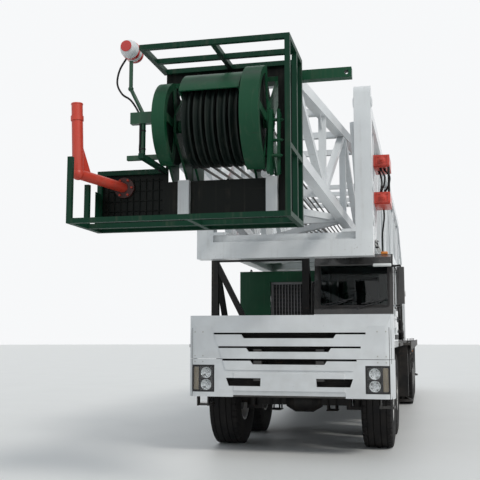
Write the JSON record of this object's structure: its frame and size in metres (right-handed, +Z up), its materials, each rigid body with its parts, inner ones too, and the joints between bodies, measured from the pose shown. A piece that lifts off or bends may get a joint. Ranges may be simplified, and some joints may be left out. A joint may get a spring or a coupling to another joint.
{
  "type": "well flushing truck",
  "caption": "Heavy half-cab truck with a lying lattice mast over its cab, a crown platform, hoist, power housing and levelling jacks, for flushing and servicing wells.",
  "frame": {"origin": "on the ground under the middle of the truck's overall length and width", "axes": "+Z up, the cab's front faces -Y, +X is the truck's left"},
  "size_m": [2.78, 17.671, 4.41],
  "materials": {
    "white_paint": "gloss",
    "green_paint": "satin",
    "black_paint": "satin",
    "red_paint": "gloss",
    "tyre_rubber": "matte",
    "rim_paint": "satin",
    "glass": "clear",
    "trim": "matte",
    "lamp_glass": "gloss",
    "bare_steel": "satin",
    "cylinder_paint": "gloss",
    "rod_chrome": "polished"
  },
  "bodies": {
    "truck": {"axles": "black_paint", "springs": "black_paint", "chassis_frame": "black_paint", "deck": "black_paint", "side_boxes": "black_paint", "bumper": "white_paint", "lamps": "lamp_glass", "nose": "white_paint", "cab_shell": "white_paint", "cab_glass": "glass", "cab_interior": "trim", "mast_rest": "black_paint", "machine_housings": "green_paint", "engine_block": "bare_steel", "exhausts": "bare_steel", "drawworks": "green_paint", "mast_base": "white_paint"},
    "knuckle_1l": {"knuckle_1l": "black_paint"},
    "wheel_1l": {"tyre_1l": "tyre_rubber", "rim_1l": "rim_paint"},
    "knuckle_1r": {"knuckle_1r": "black_paint"},
    "wheel_1r": {"tyre_1r": "tyre_rubber", "rim_1r": "rim_paint"},
    "knuckle_2l": {"knuckle_2l": "black_paint"},
    "wheel_2l": {"tyre_2l": "tyre_rubber", "rim_2l": "rim_paint"},
    "knuckle_2r": {"knuckle_2r": "black_paint"},
    "wheel_2r": {"tyre_2r": "tyre_rubber", "rim_2r": "rim_paint"},
    "twin_3l": {"twin_tyres_3l": "tyre_rubber", "twin_rim_3l": "rim_paint"},
    "twin_3r": {"twin_tyres_3r": "tyre_rubber", "twin_rim_3r": "rim_paint"},
    "twin_4l": {"twin_tyres_4l": "tyre_rubber", "twin_rim_4l": "rim_paint"},
    "twin_4r": {"twin_tyres_4r": "tyre_rubber", "twin_rim_4r": "rim_paint"},
    "twin_5l": {"twin_tyres_5l": "tyre_rubber", "twin_rim_5l": "rim_paint"},
    "twin_5r": {"twin_tyres_5r": "tyre_rubber", "twin_rim_5r": "rim_paint"},
    "jack_front_l": {"jack_front_l": "black_paint"},
    "jack_front_r": {"jack_front_r": "black_paint"},
    "jack_rear_l": {"jack_rear_l": "black_paint"},
    "jack_rear_r": {"jack_rear_r": "black_paint"},
    "door": {"cab_door": "white_paint", "door_glass": "glass"},
    "drum": {"drum": "bare_steel"},
    "mast_lower": {"mast_lower": "white_paint", "mast_locks": "red_paint"},
    "mast_upper": {"mast_upper": "white_paint", "crown_frame": "green_paint", "crown_platform": "green_paint", "davit": "red_paint", "beacon": "lamp_glass", "travelling_block": "red_paint"},
    "crown_sheaves": {"crown_sheaves": "green_paint"},
    "racking_board": {"racking_board": "white_paint"},
    "cylinder_barrels": {"cylinder_barrels": "cylinder_paint"},
    "cylinder_rods": {"cylinder_rods": "rod_chrome"}
  },
  "joints": [
    {"name": "steer_1l", "type": "hinge", "parent": "truck", "child": "knuckle_1l", "pos_m": [0.72, -3.9445, 0.6], "axis": [0, 0, 1], "range_deg": [-28, 28]},
    {"name": "wheel_1l_spin", "type": "hinge", "parent": "knuckle_1l", "child": "wheel_1l", "pos_m": [0.99, -3.9445, 0.6], "axis": [1, 0, 0], "continuous": true},
    {"name": "steer_1r", "type": "hinge", "parent": "truck", "child": "knuckle_1r", "pos_m": [-0.72, -3.9445, 0.6], "axis": [0, 0, 1], "range_deg": [-28, 28]},
    {"name": "wheel_1r_spin", "type": "hinge", "parent": "knuckle_1r", "child": "wheel_1r", "pos_m": [-0.99, -3.9445, 0.6], "axis": [1, 0, 0], "continuous": true},
    {"name": "steer_2l", "type": "hinge", "parent": "truck", "child": "knuckle_2l", "pos_m": [0.72, -2.4945, 0.6], "axis": [0, 0, 1], "range_deg": [-21.5, 21.5]},
    {"name": "wheel_2l_spin", "type": "hinge", "parent": "knuckle_2l", "child": "wheel_2l", "pos_m": [0.99, -2.4945, 0.6], "axis": [1, 0, 0], "continuous": true},
    {"name": "steer_2r", "type": "hinge", "parent": "truck", "child": "knuckle_2r", "pos_m": [-0.72, -2.4945, 0.6], "axis": [0, 0, 1], "range_deg": [-21.5, 21.5]},
    {"name": "wheel_2r_spin", "type": "hinge", "parent": "knuckle_2r", "child": "wheel_2r", "pos_m": [-0.99, -2.4945, 0.6], "axis": [1, 0, 0], "continuous": true},
    {"name": "twin_3l_spin", "type": "hinge", "parent": "truck", "child": "twin_3l", "pos_m": [1.015, 3.2355, 0.6], "axis": [1, 0, 0], "continuous": true},
    {"name": "twin_3r_spin", "type": "hinge", "parent": "truck", "child": "twin_3r", "pos_m": [-1.015, 3.2355, 0.6], "axis": [1, 0, 0], "continuous": true},
    {"name": "twin_4l_spin", "type": "hinge", "parent": "truck", "child": "twin_4l", "pos_m": [1.015, 4.5855, 0.6], "axis": [1, 0, 0], "continuous": true},
    {"name": "twin_4r_spin", "type": "hinge", "parent": "truck", "child": "twin_4r", "pos_m": [-1.015, 4.5855, 0.6], "axis": [1, 0, 0], "continuous": true},
    {"name": "twin_5l_spin", "type": "hinge", "parent": "truck", "child": "twin_5l", "pos_m": [1.015, 5.9355, 0.6], "axis": [1, 0, 0], "continuous": true},
    {"name": "twin_5r_spin", "type": "hinge", "parent": "truck", "child": "twin_5r", "pos_m": [-1.015, 5.9355, 0.6], "axis": [1, 0, 0], "continuous": true},
    {"name": "jack_front_l_lower", "type": "slide", "parent": "truck", "child": "jack_front_l", "axis": [0, 0, -1], "range_m": [0, 0.41]},
    {"name": "jack_front_r_lower", "type": "slide", "parent": "truck", "child": "jack_front_r", "axis": [0, 0, -1], "range_m": [0, 0.41]},
    {"name": "jack_rear_l_lower", "type": "slide", "parent": "truck", "child": "jack_rear_l", "axis": [0, 0, -1], "range_m": [0, 0.41]},
    {"name": "jack_rear_r_lower", "type": "slide", "parent": "truck", "child": "jack_rear_r", "axis": [0, 0, -1], "range_m": [0, 0.41]},
    {"name": "cab_door_hinge", "type": "hinge", "parent": "truck", "child": "door", "pos_m": [1.262, -4.8375, 1.6], "axis": [0, 0, -1], "range_deg": [0, 70]},
    {"name": "drum_spin", "type": "hinge", "parent": "truck", "child": "drum", "pos_m": [0, 5.0355, 1.96], "axis": [1, 0, 0], "continuous": true},
    {"name": "mast_raise", "type": "hinge", "parent": "truck", "child": "mast_lower", "pos_m": [0, 7.7355, 2.6], "axis": [-1, 0, 0], "range_deg": [0, 90]},
    {"name": "mast_extend", "type": "slide", "parent": "mast_lower", "child": "mast_upper", "axis": [0, -1, 0], "range_m": [0, 10.5]},
    {"name": "crown_sheaves_spin", "type": "hinge", "parent": "mast_upper", "child": "crown_sheaves", "pos_m": [0, -8.3245, 3.24], "axis": [1, 0, 0], "continuous": true},
    {"name": "racking_board_fold", "type": "hinge", "parent": "mast_upper", "child": "racking_board", "pos_m": [0, 0.5755, 4.27], "axis": [1, 0, 0], "range_deg": [0, 90]},
    {"name": "cylinder_swing", "type": "hinge", "parent": "truck", "child": "cylinder_barrels", "pos_m": [0, 7.1355, 1.43], "axis": [-1, 0, 0], "range_deg": [0, 74.21]},
    {"name": "cylinder_stroke", "type": "slide", "parent": "cylinder_barrels", "child": "cylinder_rods", "axis": [0, -0.9278, 0.373], "range_m": [0, 1.6048]}
  ],
  "couplings": [
    {"joint": "steer_1r", "follows": "steer_1l", "ratio": 1},
    {"joint": "steer_2l", "follows": "steer_1l", "ratio": 0.75},
    {"joint": "steer_2r", "follows": "steer_1l", "ratio": 0.75},
    {"joint": "cylinder_swing", "follows": "mast_raise", "ratio": 0.81905},
    {"joint": "cylinder_stroke", "follows": "mast_raise", "m_per_rad": 1.0184}
  ]
}
